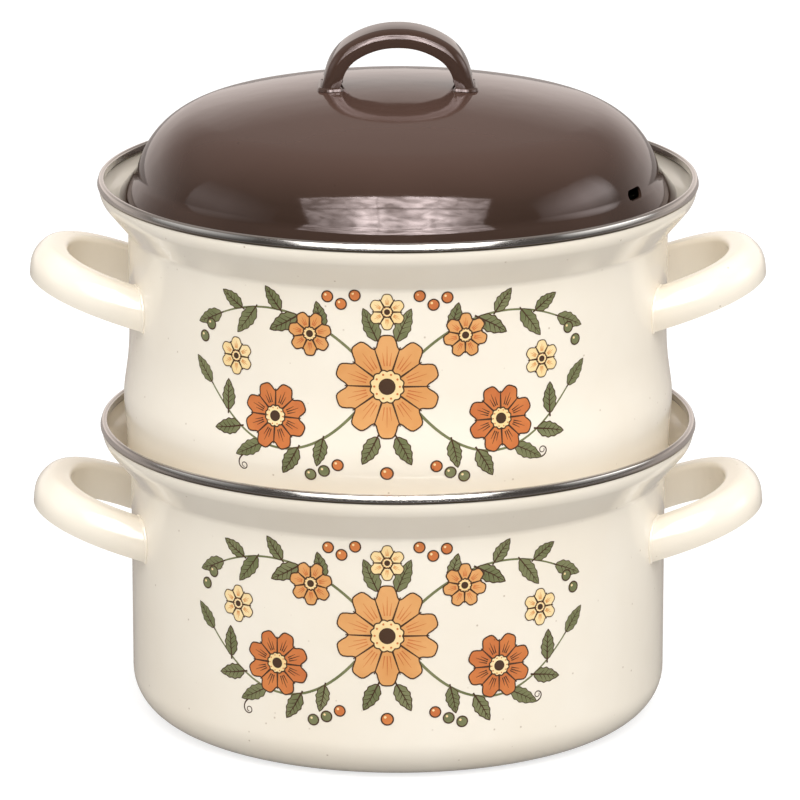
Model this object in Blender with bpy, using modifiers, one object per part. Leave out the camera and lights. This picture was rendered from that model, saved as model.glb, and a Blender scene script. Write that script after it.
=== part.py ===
"""Stacked enamelled potato steamer: a water pot, a perforated steamer pot standing in its collar, and a lid.

Metres, +Z up. The origin is the centre of the water pot's flat underside. The side handles lie along X
and the front is towards -Y. All the round pieces are turned about Z from a profile of their outer side.
"""
import math

import bmesh
import bpy
from mathutils import Matrix, Vector

# Pressed sheet of both pots
SHEET = 0.0015
WALL_RADIUS = 0.1205
POT_HEIGHT = 0.1342
POT_CORNER = 0.0190
STEAMER_HEIGHT = 0.1472
STEAMER_CORNER = 0.0080

# Collar under each rim: an upright lip above a sloping ledge
COLLAR_OVERHANG = 0.0127
COLLAR_DEPTH = 0.0228
COLLAR_LIP = 0.0075
COLLAR_SHOULDER_FILLET = 0.0095
COLLAR_NECK_FILLET = 0.0040

# Lower part of the steamer pot: swollen bead, seat and the skirt that goes into the water pot
BEAD_OVERHANG = 0.0032
BEAD_HEIGHT = 0.0480
BEAD_SWELL = 0.0220
BEAD_FALL = 0.0130
BEAD_FILLET = 0.0400
SEAT_OVERHANG = 0.0015
SEAT_HEIGHT = 0.0180
SEAT_FILLET = 0.0015
SKIRT_CLEARANCE = 0.0020

# Steam holes in the steamer's base
HOLE_DIAMETER = 0.0070
HOLE_MARGIN = 0.0150
HOLE_RINGS = 4
HOLE_SIDES = 8
HOLE_CUT_DEPTH = 0.0090

# Steel band crimped over each rim
BAND_SHEET = 0.0005
BAND_HEIGHT = 0.0040
BAND_ROUND = 0.0014

# Side handles: an open channel bent into a loop, tilted up away from the wall
HANDLE_REACH = 0.0280
HANDLE_ROOT_DEPTH = 0.0150
HANDLE_HALF_GAP = 0.0300
HANDLE_TIP_PULL = 0.0290
HANDLE_SIDE_PULL = 0.0220
HANDLE_SPREAD = 0.0040
HANDLE_TOP_WIDTH = 0.0100
HANDLE_WIDTH = 0.0150
HANDLE_LIP_WIDTH = 0.0130
HANDLE_DEPTH = 0.0168
HANDLE_WIDEST_DROP = 0.0085
HANDLE_INNER_FILLET = 0.0025
HANDLE_TOP_FILLET = 0.0065
HANDLE_SIDE_FILLET = 0.0120
HANDLE_TILT = math.radians(19.0)
POT_HANDLE_DROP = 0.0130
STEAMER_HANDLE_DROP = 0.0180

# Lid: crown, shoulder, steep wall and turned-down edge
LID_SHEET = 0.0012
LID_EDGE_OVERHANG = 0.0040
LID_EDGE_HEIGHT = 0.0078
LID_EDGE_FILLET = 0.0020
LID_FLANGE = 0.0065
LID_FOOT_HEIGHT = 0.0105
LID_FOOT_FILLET = 0.0060
LID_WALL_LENGTH = 0.00604
LID_WALL_SLOPE = math.radians(11.3)
LID_SHOULDER_RADIUS = 0.0378
LID_CROWN_RADIUS = 0.3550
SLOT_LENGTH = 0.0128
SLOT_WIDTH = 0.0048
SLOT_HEIGHT = 0.0190
SLOT_SIDES = 12
SLOT_CUT_DEPTH = 0.0300
SLOT_BEARING = math.radians(-27.0)

# Lid handle: an arched strap with turned-down sides
GRIP_HALF_SPAN = 0.0362
GRIP_SHOULDER = 0.0293
GRIP_CROWN = 0.0120
GRIP_RISE = 0.0262
GRIP_SHOULDER_DROP = 0.0109
GRIP_SHOULDER_FILLET = 0.0230
GRIP_CROWN_FILLET = 0.0390
GRIP_WIDTH = 0.0240
GRIP_DEPTH = 0.0079
GRIP_FILLET = 0.0030
GRIP_SHEET = 0.0014

# Radii that follow from the wall's
COLLAR_RADIUS = WALL_RADIUS + COLLAR_OVERHANG
SEAT_RADIUS = WALL_RADIUS + SEAT_OVERHANG
SKIRT_RADIUS = WALL_RADIUS - SHEET - SKIRT_CLEARANCE
LID_EDGE_RADIUS = WALL_RADIUS + LID_EDGE_OVERHANG
LID_FOOT_RADIUS = LID_EDGE_RADIUS - LID_FLANGE

# Fits and facets
CLEARANCE = 0.0003
STEPS = 40
ARC_STEP = math.radians(23.0)
SMALL_FILLET = 0.0030
SMALL_ARC_STEP = math.radians(45.0)
CROWN_STEPS = 3
SHOULDER_STEPS = 4
LOOP_STEPS = 6
FLAT_ANGLE = math.radians(0.1)
MERGE = 0.00005

# Finishes
CREAM = (0.906, 0.805, 0.642, 1.0)
CREAM_ROUGHNESS = 0.22
BROWN = (0.092, 0.045, 0.033, 1.0)
BROWN_ROUGHNESS = 0.18
STEEL = (0.610, 0.590, 0.550, 1.0)
STEEL_ROUGHNESS = 0.20


def clear_scene():
    for item in list(bpy.data.objects):
        bpy.data.objects.remove(item, do_unlink=True)


def new_collection(name):
    collection = bpy.data.collections.new(name)
    bpy.context.scene.collection.children.link(collection)
    return collection


def make_material(name, colour, roughness, metallic):
    material = bpy.data.materials.new(name)
    material.use_nodes = True
    shader = material.node_tree.nodes["Principled BSDF"]
    shader.inputs["Base Color"].default_value = colour
    shader.inputs["Roughness"].default_value = roughness
    shader.inputs["Metallic"].default_value = metallic
    return material


def corner_arc(corner, incoming, outgoing, radius):
    """Points of the arc that rounds one corner between two directions."""
    turn = math.atan2(incoming.x * outgoing.y - incoming.y * outgoing.x, incoming.dot(outgoing))
    if radius == 0.0 or abs(turn) < 1e-6:
        return [corner]
    start = corner - incoming * radius * math.tan(abs(turn) / 2)
    to_centre = Vector((-incoming.y, incoming.x)) * math.copysign(radius, turn)
    arc_step = ARC_STEP if radius > SMALL_FILLET else SMALL_ARC_STEP
    steps = math.ceil(abs(turn) / arc_step)
    centre = start + to_centre
    return [centre - Matrix.Rotation(turn * k / steps, 2) @ to_centre for k in range(steps + 1)]


def rounded(corners):
    """Points along straight lines through (x, y, fillet) corners, each corner with its own fillet."""
    places = [Vector(corner[:2]) for corner in corners]
    points = [places[0]]
    for k in range(1, len(corners) - 1):
        incoming = (places[k] - places[k - 1]).normalized()
        outgoing = (places[k + 1] - places[k]).normalized()
        points += corner_arc(places[k], incoming, outgoing, corners[k][2])
    points.append(places[-1])
    return points


def link(name, data, collection, parent=None):
    item = bpy.data.objects.new(name, data)
    collection.objects.link(item)
    item.parent = parent
    return item


def hide_cutter(cutter):
    cutter.hide_render = True
    cutter.display_type = "WIRE"
    return cutter


def turned(name, profile, collection, parent=None):
    """A surface of revolution about Z. The profile is the outer side, from its top down."""
    mesh = bpy.data.meshes.new(name)
    edges = [(k, k + 1) for k in range(len(profile) - 1)]
    mesh.from_pydata([(point.x, 0.0, point.y) for point in profile], edges, [])
    item = link(name, mesh, collection, parent)
    screw = item.modifiers.new("turn", "SCREW")
    screw.steps = STEPS
    screw.render_steps = STEPS
    screw.use_merge_vertices = True
    screw.merge_threshold = MERGE
    screw.use_smooth_shade = True
    return item


def thicken(item, thickness):
    """Gives an outer surface its sheet thickness, inwards."""
    solid = item.modifiers.new("sheet", "SOLIDIFY")
    solid.thickness = thickness
    solid.offset = -1.0
    solid.use_even_offset = True


def merge_flat_faces(item):
    flat = item.modifiers.new("flat", "DECIMATE")
    flat.decimate_type = "DISSOLVE"
    flat.angle_limit = FLAT_ANGLE


def cut(item, cutter):
    boolean = item.modifiers.new("cut", "BOOLEAN")
    boolean.operation = "DIFFERENCE"
    boolean.solver = "EXACT"
    boolean.object = cutter


def collar_corners(rim_edge):
    """Outer corners of the lip, the ledge and the neck below a rim edge at this height."""
    return [
        (COLLAR_RADIUS, rim_edge, 0.0),
        (COLLAR_RADIUS, rim_edge - COLLAR_LIP, COLLAR_SHOULDER_FILLET),
        (WALL_RADIUS, rim_edge - COLLAR_DEPTH, COLLAR_NECK_FILLET),
    ]


def ledge_height(rim_edge, radius):
    """Height at which something of this radius rests inside the ledge, one clearance off its face."""
    run = COLLAR_RADIUS - WALL_RADIUS
    rise = COLLAR_DEPTH - COLLAR_LIP
    square_offset = (SHEET + CLEARANCE) * math.hypot(run, rise) / run
    return rim_edge - COLLAR_DEPTH + square_offset + (radius - WALL_RADIUS) * rise / run


def water_pot(collection, material):
    profile = rounded(collar_corners(POT_HEIGHT) + [(WALL_RADIUS, 0.0, POT_CORNER), (0.0, 0.0, 0.0)])
    pot = turned("lower_pot", profile, collection)
    thicken(pot, SHEET)
    pot.data.materials.append(material)
    return pot


def steamer_profile():
    """Outer side of the steamer pot in its own frame, with its base at height 0."""
    step = ledge_height(POT_HEIGHT, SEAT_RADIUS) - ledge_height(POT_HEIGHT, SKIRT_RADIUS)
    return rounded(collar_corners(STEAMER_HEIGHT) + [
        (WALL_RADIUS, BEAD_HEIGHT + BEAD_SWELL, 0.0),
        (WALL_RADIUS + BEAD_OVERHANG, BEAD_HEIGHT, BEAD_FILLET),
        (SEAT_RADIUS, BEAD_HEIGHT - BEAD_FALL, 0.0),
        (SEAT_RADIUS, SEAT_HEIGHT, SEAT_FILLET),
        (SKIRT_RADIUS, SEAT_HEIGHT - step, SEAT_FILLET),
        (SKIRT_RADIUS, 0.0, STEAMER_CORNER),
        (0.0, 0.0, 0.0),
    ])


def hole_centres():
    """Steam holes in rings round the middle one, evenly spaced out to the margin inside the base's corner."""
    pitch = (SKIRT_RADIUS - STEAMER_CORNER - HOLE_MARGIN) / HOLE_RINGS
    centres = [(0.0, 0.0)]
    for ring in range(1, HOLE_RINGS + 1):
        count = 6 * ring
        for k in range(count):
            bearing = 2.0 * math.pi * k / count
            centres.append((ring * pitch * math.cos(bearing), ring * pitch * math.sin(bearing)))
    return centres


def steam_hole_cutter(cutters, parent):
    bm = bmesh.new()
    for x, y in hole_centres():
        bmesh.ops.create_cone(
            bm, cap_ends=True, segments=HOLE_SIDES, radius1=HOLE_DIAMETER / 2, radius2=HOLE_DIAMETER / 2,
            depth=HOLE_CUT_DEPTH, matrix=Matrix.Translation((x, y, 0.0)))
    mesh = bpy.data.meshes.new("steam_holes")
    bm.to_mesh(mesh)
    bm.free()
    return hide_cutter(link("steam_holes", mesh, cutters, parent))


def steamer_pot(collection, cutters, parent, material):
    pot = turned("steamer_pot", steamer_profile(), collection, parent)
    thicken(pot, SHEET)
    merge_flat_faces(pot)
    cut(pot, steam_hole_cutter(cutters, parent))
    pot.data.materials.append(material)
    return pot


def rim_band(name, rim_edge, collection, material, parent=None):
    """Steel channel folded over the rim's edge, with a rounded back."""
    inner = COLLAR_RADIUS - SHEET - CLEARANCE - BAND_SHEET
    outer = COLLAR_RADIUS + CLEARANCE + BAND_SHEET
    top = rim_edge + CLEARANCE + BAND_SHEET
    profile = rounded([
        (inner, top - BAND_HEIGHT, 0.0),
        (inner, top, BAND_ROUND),
        (outer, top, BAND_ROUND),
        (outer, top - BAND_HEIGHT, 0.0),
    ])
    band = turned(name, profile, collection, parent)
    thicken(band, BAND_SHEET)
    band.data.materials.append(material)
    return band


def flat_curve(name, cutters):
    curve = bpy.data.curves.new(name, "CURVE")
    curve.dimensions = "2D"
    curve.fill_mode = "NONE"
    return curve, hide_cutter(link(name, curve, cutters))


def section_curve(name, points, cutters):
    """The sheet's cross-section, drawn across a swept path."""
    curve, item = flat_curve(name, cutters)
    spline = curve.splines.new("POLY")
    spline.points.add(len(points) - 1)
    for k, point in enumerate(points):
        spline.points[k].co = (point.x, point.y, 0.0, 1.0)
    return item


def sheet_mesh(name, path_item):
    """Mesh of a swept section, with its seams welded."""
    evaluated = path_item.evaluated_get(bpy.context.evaluated_depsgraph_get())
    mesh = bpy.data.meshes.new_from_object(evaluated)
    mesh.name = name
    bm = bmesh.new()
    bm.from_mesh(mesh)
    bmesh.ops.remove_doubles(bm, verts=bm.verts, dist=MERGE)
    bm.to_mesh(mesh)
    bm.free()
    return mesh


def channel_section(cutters):
    """Side handle's section: a straight inner flange, a narrow top and a full outer side, open below."""
    points = rounded([
        (0.0, -HANDLE_DEPTH, 0.0),
        (0.0, 0.0, HANDLE_INNER_FILLET),
        (HANDLE_TOP_WIDTH, 0.0, HANDLE_TOP_FILLET),
        (HANDLE_WIDTH, -HANDLE_WIDEST_DROP, HANDLE_SIDE_FILLET),
        (HANDLE_LIP_WIDTH, -HANDLE_DEPTH, 0.0),
    ])
    return section_curve("channel_section", points, cutters)


def loop_mesh(cutters):
    """Sheet surface of one side handle. Its path is the loop's inner edge, with +X away from the wall."""
    curve, item = flat_curve("loop_path", cutters)
    spline = curve.splines.new("BEZIER")
    spline.bezier_points.add(2)
    for side, point in ((-1, spline.bezier_points[0]), (1, spline.bezier_points[2])):
        point.co = (-HANDLE_ROOT_DEPTH, side * HANDLE_HALF_GAP, 0.0)
        pull = (HANDLE_SIDE_PULL - HANDLE_ROOT_DEPTH, side * (HANDLE_HALF_GAP + HANDLE_SPREAD), 0.0)
        point.handle_left = pull
        point.handle_right = pull
    tip = spline.bezier_points[1]
    tip.co = (HANDLE_REACH, 0.0, 0.0)
    tip.handle_left = (HANDLE_REACH, -HANDLE_TIP_PULL, 0.0)
    tip.handle_right = (HANDLE_REACH, HANDLE_TIP_PULL, 0.0)
    spline.resolution_u = LOOP_STEPS
    curve.bevel_mode = "OBJECT"
    curve.bevel_object = channel_section(cutters)
    mesh = sheet_mesh("side_handle", item)
    bpy.data.objects.remove(item, do_unlink=True)
    return mesh


def wall_cutter(cutters):
    """Everything inside the pots' wall, one clearance larger."""
    radius = WALL_RADIUS + CLEARANCE
    height = POT_HEIGHT + STEAMER_HEIGHT
    corners = [(0.0, height, 0.0), (radius, height, 0.0), (radius, 0.0, 0.0), (0.0, 0.0, 0.0)]
    return hide_cutter(turned("wall_space", rounded(corners), cutters))


def side_handle(name, side, height, mesh, cutter, collection, material, parent=None):
    handle = link(name, mesh.copy(), collection, parent)
    handle.location = (side * WALL_RADIUS, 0.0, height)
    turn = Matrix.Rotation(0.0 if side > 0 else math.pi, 3, "Z")
    tilt = Matrix.Rotation(-HANDLE_TILT, 3, "Y")
    handle.rotation_euler = (turn @ tilt).to_euler()
    thicken(handle, SHEET)
    cut(handle, cutter)
    handle.data.materials.clear()
    handle.data.materials.append(material)
    return handle


def dome_points():
    """Crown and shoulder arcs, tangent to each other and to the steep wall, from the apex down."""
    outward = Vector((math.cos(LID_WALL_SLOPE), math.sin(LID_WALL_SLOPE)))
    up_wall = Vector((-outward.y, outward.x))
    wall_top = Vector((LID_FOOT_RADIUS, LID_FOOT_HEIGHT)) + up_wall * LID_WALL_LENGTH
    shoulder_centre = wall_top - outward * LID_SHOULDER_RADIUS
    reach = LID_CROWN_RADIUS - LID_SHOULDER_RADIUS
    crown_centre = Vector((0.0, shoulder_centre.y - math.sqrt(reach ** 2 - shoulder_centre.x ** 2)))
    joint = math.atan2(shoulder_centre.y - crown_centre.y, shoulder_centre.x)
    points = []
    for k in range(CROWN_STEPS):
        bearing = math.pi / 2 + (joint - math.pi / 2) * k / CROWN_STEPS
        points.append(crown_centre + LID_CROWN_RADIUS * Vector((math.cos(bearing), math.sin(bearing))))
    for k in range(SHOULDER_STEPS + 1):
        bearing = joint + (LID_WALL_SLOPE - joint) * k / SHOULDER_STEPS
        points.append(shoulder_centre + LID_SHOULDER_RADIUS * Vector((math.cos(bearing), math.sin(bearing))))
    return points


def lid_profile():
    """Outer side of the lid in its own frame, with the lower edge of its turned-down rim at height 0."""
    dome = dome_points()
    skirt = rounded([
        (dome[-1].x, dome[-1].y, 0.0),
        (LID_FOOT_RADIUS, LID_FOOT_HEIGHT, LID_FOOT_FILLET),
        (LID_EDGE_RADIUS, LID_EDGE_HEIGHT, LID_EDGE_FILLET),
        (LID_EDGE_RADIUS, 0.0, 0.0),
    ])
    return dome[:-1] + skirt


def slot_cutter(cutters, parent):
    """Round-ended slot through the lid's steep wall, square to the axis."""
    bm = bmesh.new()
    bmesh.ops.create_cone(
        bm, cap_ends=True, segments=SLOT_SIDES, radius1=SLOT_WIDTH / 2, radius2=SLOT_WIDTH / 2,
        depth=SLOT_CUT_DEPTH, matrix=Matrix.Rotation(math.pi / 2, 4, "Y"))
    half_straight = (SLOT_LENGTH - SLOT_WIDTH) / 2
    for vert in bm.verts:
        vert.co.y += math.copysign(half_straight, vert.co.y)
    mesh = bpy.data.meshes.new("steam_slot")
    bm.to_mesh(mesh)
    bm.free()
    cutter = hide_cutter(link("steam_slot", mesh, cutters, parent))
    spot = LID_FOOT_RADIUS
    cutter.location = (spot * math.cos(SLOT_BEARING), spot * math.sin(SLOT_BEARING), SLOT_HEIGHT)
    cutter.rotation_euler = (0.0, 0.0, SLOT_BEARING)
    return cutter


def domed_lid(collection, cutters, parent, material):
    lid = turned("lid", lid_profile(), collection, parent)
    thicken(lid, LID_SHEET)
    cut(lid, slot_cutter(cutters, parent))
    lid.data.materials.append(material)
    return lid


def lid_cutter(cutters, parent):
    """The space under the dome's outer face, one clearance higher."""
    dome = [point + Vector((0.0, CLEARANCE)) for point in dome_points()]
    return hide_cutter(turned("dome_space", dome + [Vector((0.0, 0.0))], cutters, parent))


def grip_section(cutters):
    half = GRIP_WIDTH / 2
    points = rounded([
        (GRIP_DEPTH, -half, 0.0),
        (0.0, -half, GRIP_FILLET),
        (0.0, half, GRIP_FILLET),
        (GRIP_DEPTH, half, 0.0),
    ])
    return section_curve("grip_section", points, cutters)


def grip_path():
    """Outer line of the arch from its left foot to its right foot, as height above the lid's apex."""
    foot = -GRIP_DEPTH
    shoulder = GRIP_RISE - GRIP_SHOULDER_DROP
    return rounded([
        (-GRIP_HALF_SPAN, foot, 0.0),
        (-GRIP_SHOULDER, shoulder, GRIP_SHOULDER_FILLET),
        (-GRIP_CROWN, GRIP_RISE, GRIP_CROWN_FILLET),
        (GRIP_CROWN, GRIP_RISE, GRIP_CROWN_FILLET),
        (GRIP_SHOULDER, shoulder, GRIP_SHOULDER_FILLET),
        (GRIP_HALF_SPAN, foot, 0.0),
    ])


def lid_grip(collection, cutters, parent, material):
    curve, item = flat_curve("grip_path", cutters)
    points = grip_path()
    spline = curve.splines.new("POLY")
    spline.points.add(len(points) - 1)
    for k, point in enumerate(points):
        spline.points[k].co = (point.x, point.y, 0.0, 1.0)
    curve.bevel_mode = "OBJECT"
    curve.bevel_object = grip_section(cutters)
    grip = link("lid_handle", sheet_mesh("lid_handle", item), collection, parent)
    bpy.data.objects.remove(item, do_unlink=True)
    grip.location = (0.0, 0.0, dome_points()[0].y)
    grip.rotation_euler = (math.pi / 2, 0.0, 0.0)
    thicken(grip, GRIP_SHEET)
    cut(grip, lid_cutter(cutters, parent))
    grip.data.materials.clear()
    grip.data.materials.append(material)
    return grip


def carrier(name, height, collection, parent=None):
    """Empty on the stack's axis that carries one lift-off group."""
    empty = link(name, None, collection, parent)
    empty.location = (0.0, 0.0, height)
    return empty


def build():
    clear_scene()
    parts = new_collection("potato_steamer")
    cutters = new_collection("cutters")
    enamel = make_material("cream_enamel", CREAM, CREAM_ROUGHNESS, 0.0)
    brown = make_material("brown_enamel", BROWN, BROWN_ROUGHNESS, 0.0)
    steel = make_material("rim_steel", STEEL, STEEL_ROUGHNESS, 1.0)
    steamer = carrier("steamer_carrier", ledge_height(POT_HEIGHT, SEAT_RADIUS) - SEAT_HEIGHT, parts)
    lid = carrier("lid_carrier", ledge_height(STEAMER_HEIGHT, LID_EDGE_RADIUS), parts, steamer)
    water_pot(parts, enamel)
    rim_band("lower_rim_band", POT_HEIGHT, parts, steel)
    steamer_pot(parts, cutters, steamer, enamel)
    rim_band("steamer_rim_band", STEAMER_HEIGHT, parts, steel, steamer)
    loop = loop_mesh(cutters)
    wall = wall_cutter(cutters)
    pot_height = POT_HEIGHT - COLLAR_DEPTH - POT_HANDLE_DROP
    steamer_height = STEAMER_HEIGHT - COLLAR_DEPTH - STEAMER_HANDLE_DROP
    for side, word in ((-1, "left"), (1, "right")):
        side_handle("lower_handle_" + word, side, pot_height, loop, wall, parts, enamel)
        side_handle("steamer_handle_" + word, side, steamer_height, loop, wall, parts, enamel, steamer)
    domed_lid(parts, cutters, lid, brown)
    lid_grip(parts, cutters, lid, brown)


build()
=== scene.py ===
import math

import bmesh
import bpy
from mathutils import Matrix, Vector


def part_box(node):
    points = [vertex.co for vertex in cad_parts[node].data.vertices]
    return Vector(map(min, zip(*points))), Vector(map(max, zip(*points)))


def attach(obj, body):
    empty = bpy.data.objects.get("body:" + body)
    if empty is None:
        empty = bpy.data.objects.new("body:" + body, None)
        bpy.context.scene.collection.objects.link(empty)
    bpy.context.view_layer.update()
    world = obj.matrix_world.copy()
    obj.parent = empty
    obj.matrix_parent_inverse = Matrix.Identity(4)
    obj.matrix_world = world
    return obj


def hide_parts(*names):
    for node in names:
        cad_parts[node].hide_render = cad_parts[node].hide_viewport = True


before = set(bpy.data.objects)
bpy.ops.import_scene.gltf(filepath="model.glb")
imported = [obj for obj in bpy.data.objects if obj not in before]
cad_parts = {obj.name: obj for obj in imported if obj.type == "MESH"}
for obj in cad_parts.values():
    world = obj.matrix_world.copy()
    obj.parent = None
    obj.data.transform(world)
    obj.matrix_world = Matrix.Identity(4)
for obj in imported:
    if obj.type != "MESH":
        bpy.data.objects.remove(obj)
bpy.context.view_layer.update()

# The water pot is drawn from steel sheet and enamelled cream inside and out. A wide rounded corner leads
# from its flat underside to the wall, and below the rim the wall steps out over a sloping ledge into a
# collar. The steamer pot stands on that ledge.
ROUND_STEPS = 160
SHEET = 0.0015
WALL = 0.1205
COLLAR = 0.1332
COLLAR_DEPTH = 0.0228
COLLAR_LIP = 0.0075
COLLAR_BEND = 0.0034
LEDGE_BEND = 0.0016
POT_CORNER = 0.0190
POT_BASE_RING = 0.004
TOUCH = 2e-5
FACET_ANGLE = math.radians(25)
CREAM = (0.870, 0.790, 0.665, 1.0)
CREAM_POOLED = (0.895, 0.825, 0.710, 1.0)
CREAM_SPECK = (0.330, 0.210, 0.110, 1.0)

pot_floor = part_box("lower_pot")[0].z
pot_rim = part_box("lower_pot")[1].z


def start_disc(name, radius, height):
    """A flat round blank in edit mode, with its outer edge selected."""
    bpy.ops.object.select_all(action="DESELECT")
    bpy.ops.mesh.primitive_circle_add(
        vertices=ROUND_STEPS, radius=radius, fill_type="NGON", location=(0, 0, height))
    piece = bpy.context.object
    piece.name = name
    bpy.ops.object.transform_apply(location=True, rotation=True, scale=True)
    bpy.ops.object.mode_set(mode="EDIT")
    bpy.ops.mesh.select_mode(type="FACE")
    bpy.ops.mesh.select_all(action="SELECT")
    bpy.ops.mesh.region_to_loop()
    return piece


def draw_wall(rings):
    """Draws the selected edge loop from the first ring through the others, each a radius and a height."""
    for (radius, height), (next_radius, next_height) in zip(rings, rings[1:]):
        growth = next_radius / radius
        bpy.ops.mesh.extrude_edges_move(TRANSFORM_OT_translate={"value": (0, 0, next_height - height)})
        bpy.ops.transform.resize(value=(growth, growth, 1), center_override=(0, 0, next_height))


def select_ring(piece, radius, height):
    bpy.ops.mesh.select_mode(type="EDGE")
    bpy.ops.mesh.select_all(action="DESELECT")
    mesh = bmesh.from_edit_mesh(piece.data)
    for edge in mesh.edges:
        if all(abs(math.hypot(v.co.x, v.co.y) - radius) + abs(v.co.z - height) < TOUCH for v in edge.verts):
            edge.select_set(True)
    bmesh.update_edit_mesh(piece.data)


def round_ring(piece, radius, height, setback, segments):
    """Rounds the crease at one ring, with the rounding starting this far from it on both sides."""
    select_ring(piece, radius, height)
    bpy.ops.mesh.bevel(offset=setback, offset_type="OFFSET", segments=segments, affect="EDGES",
                       clamp_overlap=False)


def face_outwards(piece):
    bpy.ops.mesh.select_all(action="SELECT")
    bpy.ops.mesh.remove_doubles(threshold=1e-6)
    bpy.ops.mesh.normals_make_consistent(inside=False)
    bpy.ops.object.mode_set(mode="OBJECT")


def pick(piece):
    """Makes this the active object and the only selected one."""
    bpy.ops.object.select_all(action="DESELECT")
    bpy.context.view_layer.objects.active = piece
    piece.select_set(True)


def apply_all(piece):
    pick(piece)
    for modifier in list(piece.modifiers):
        bpy.ops.object.modifier_apply(modifier=modifier.name)


def give_sheet(piece, thickness, even=True):
    sheet = piece.modifiers.new("sheet", "SOLIDIFY")
    sheet.thickness = thickness
    sheet.offset = -1
    sheet.use_even_offset = even
    apply_all(piece)


def shade(piece, angle=FACET_ANGLE):
    pick(piece)
    bpy.ops.object.shade_smooth_by_angle(angle=angle)


def add_node(tree, kind, inputs=(), **settings):
    node = tree.nodes.new(kind)
    for key, value in settings.items():
        setattr(node, key, value)
    for socket, value in inputs:
        if isinstance(value, bpy.types.NodeSocket):
            tree.links.new(value, node.inputs[socket])
        else:
            node.inputs[socket].default_value = value
    return node


def mix_colours(tree, share, first, second):
    mix = add_node(tree, "ShaderNodeMix", [(0, share), (6, first), (7, second)], data_type="RGBA")
    return mix.outputs[2]


def ramp(tree, value, low, high, low_to=0.0, high_to=1.0):
    node = add_node(tree, "ShaderNodeMapRange", [
        ("Value", value), ("From Min", low), ("From Max", high), ("To Min", low_to), ("To Max", high_to)])
    return node.outputs["Result"]


def enamel(name, colour, pooled, speck, speck_share, gloss, cloud_scale=16.0, painted_light_fade=None):
    """Fired enamel: glass-smooth, faintly uneven like orange peel, with cloudy pooling and fine specks.

    The optional fade gives the heights over which the colour turns lighter upwards, as painted light on the
    upper part, and the lighter colour.
    """
    material = bpy.data.materials.new(name)
    material.use_nodes = True
    tree = material.node_tree
    shader = tree.nodes["Principled BSDF"]
    place = add_node(tree, "ShaderNodeTexCoord").outputs["Object"]
    clouds = add_node(tree, "ShaderNodeTexNoise", [
        ("Vector", place), ("Scale", cloud_scale), ("Detail", 3.0), ("Roughness", 0.6)]).outputs["Fac"]
    base = mix_colours(tree, ramp(tree, clouds, 0.35, 0.68), colour, pooled)
    # Painted light: lighter colour above the fade's heights, where the top faces the light
    if painted_light_fade:
        low, high, painted_light_colour = painted_light_fade
        height = add_node(tree, "ShaderNodeSeparateXYZ", [("Vector", place)]).outputs["Z"]
        base = mix_colours(tree, ramp(tree, height, low, high), base, painted_light_colour)
    cells = add_node(tree, "ShaderNodeTexVoronoi", [("Vector", place), ("Scale", 260.0)])
    dots = ramp(tree, cells.outputs["Distance"], 0.16, 0.05)
    chosen = add_node(tree, "ShaderNodeSeparateColor", [(0, cells.outputs["Color"])]).outputs[0]
    few = ramp(tree, chosen, 1.0 - speck_share, 1.0 - speck_share * 0.6)
    amount = add_node(tree, "ShaderNodeMath", [(0, dots), (1, few)], operation="MULTIPLY").outputs[0]
    faint = add_node(tree, "ShaderNodeMath", [(0, amount), (1, 0.55)], operation="MULTIPLY").outputs[0]
    tree.links.new(mix_colours(tree, faint, base, speck), shader.inputs["Base Color"])
    fine = add_node(tree, "ShaderNodeTexNoise", [
        ("Vector", place), ("Scale", 420.0), ("Detail", 2.0)]).outputs["Fac"]
    tree.links.new(ramp(tree, fine, 0.3, 0.7, gloss * 0.8, gloss * 1.25), shader.inputs["Roughness"])
    peel = add_node(tree, "ShaderNodeTexNoise", [
        ("Vector", place), ("Scale", 95.0), ("Detail", 2.0), ("Roughness", 0.4)]).outputs["Fac"]
    bump = add_node(tree, "ShaderNodeBump", [("Strength", 0.30), ("Distance", 0.00022), ("Height", peel)])
    tree.links.new(bump.outputs["Normal"], shader.inputs["Normal"])
    shader.inputs["IOR"].default_value = 1.54
    return material


cream_enamel = enamel("cream_enamel_glaze", CREAM, CREAM_POOLED, CREAM_SPECK, 0.10, 0.13)

pot_base = WALL - POT_CORNER - POT_BASE_RING
pot_neck = pot_rim - COLLAR_DEPTH
pot_shoulder = pot_rim - COLLAR_LIP

lower_pot = start_disc("lower_pot_body", pot_base, pot_floor)
draw_wall([
    (pot_base, pot_floor), (WALL, pot_floor), (WALL, pot_neck), (COLLAR, pot_shoulder), (COLLAR, pot_rim)])
round_ring(lower_pot, WALL, pot_floor, POT_CORNER, 14)
round_ring(lower_pot, WALL, pot_neck, LEDGE_BEND, 6)
round_ring(lower_pot, COLLAR, pot_shoulder, COLLAR_BEND, 8)
face_outwards(lower_pot)
give_sheet(lower_pot, SHEET)
shade(lower_pot)
lower_pot.data.materials.append(cream_enamel)
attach(lower_pot, "water_pot")
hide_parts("lower_pot")

# A stainless steel band is rolled over the water pot's rim and crimped, because enamel would chip there.
# It is a thin channel with rounded top edges that narrows upwards. Its faces are polished bright, and its
# lower edges, which are turned in against the sheet, are rougher and painted dark as painted shade.
BAND_SHEET = 0.0005
BAND_GAP = 0.0003
BAND_ROUND = 0.0010
BAND_TAPER = 0.0008
BAND_CURL = 0.0008
BAND_CRIMP = 0.0004
BAND_KNEE = 0.0012
STEEL = (0.600, 0.570, 0.535, 1.0)
STEEL_BRIGHT = (0.700, 0.670, 0.635, 1.0)
# Dark steel colours painted on the crimped lower edges as painted shade
CRIMP_SHADE = (0.130, 0.105, 0.070, 1.0)
CRIMP_SHADE_PALER = (0.200, 0.165, 0.120, 1.0)


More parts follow.
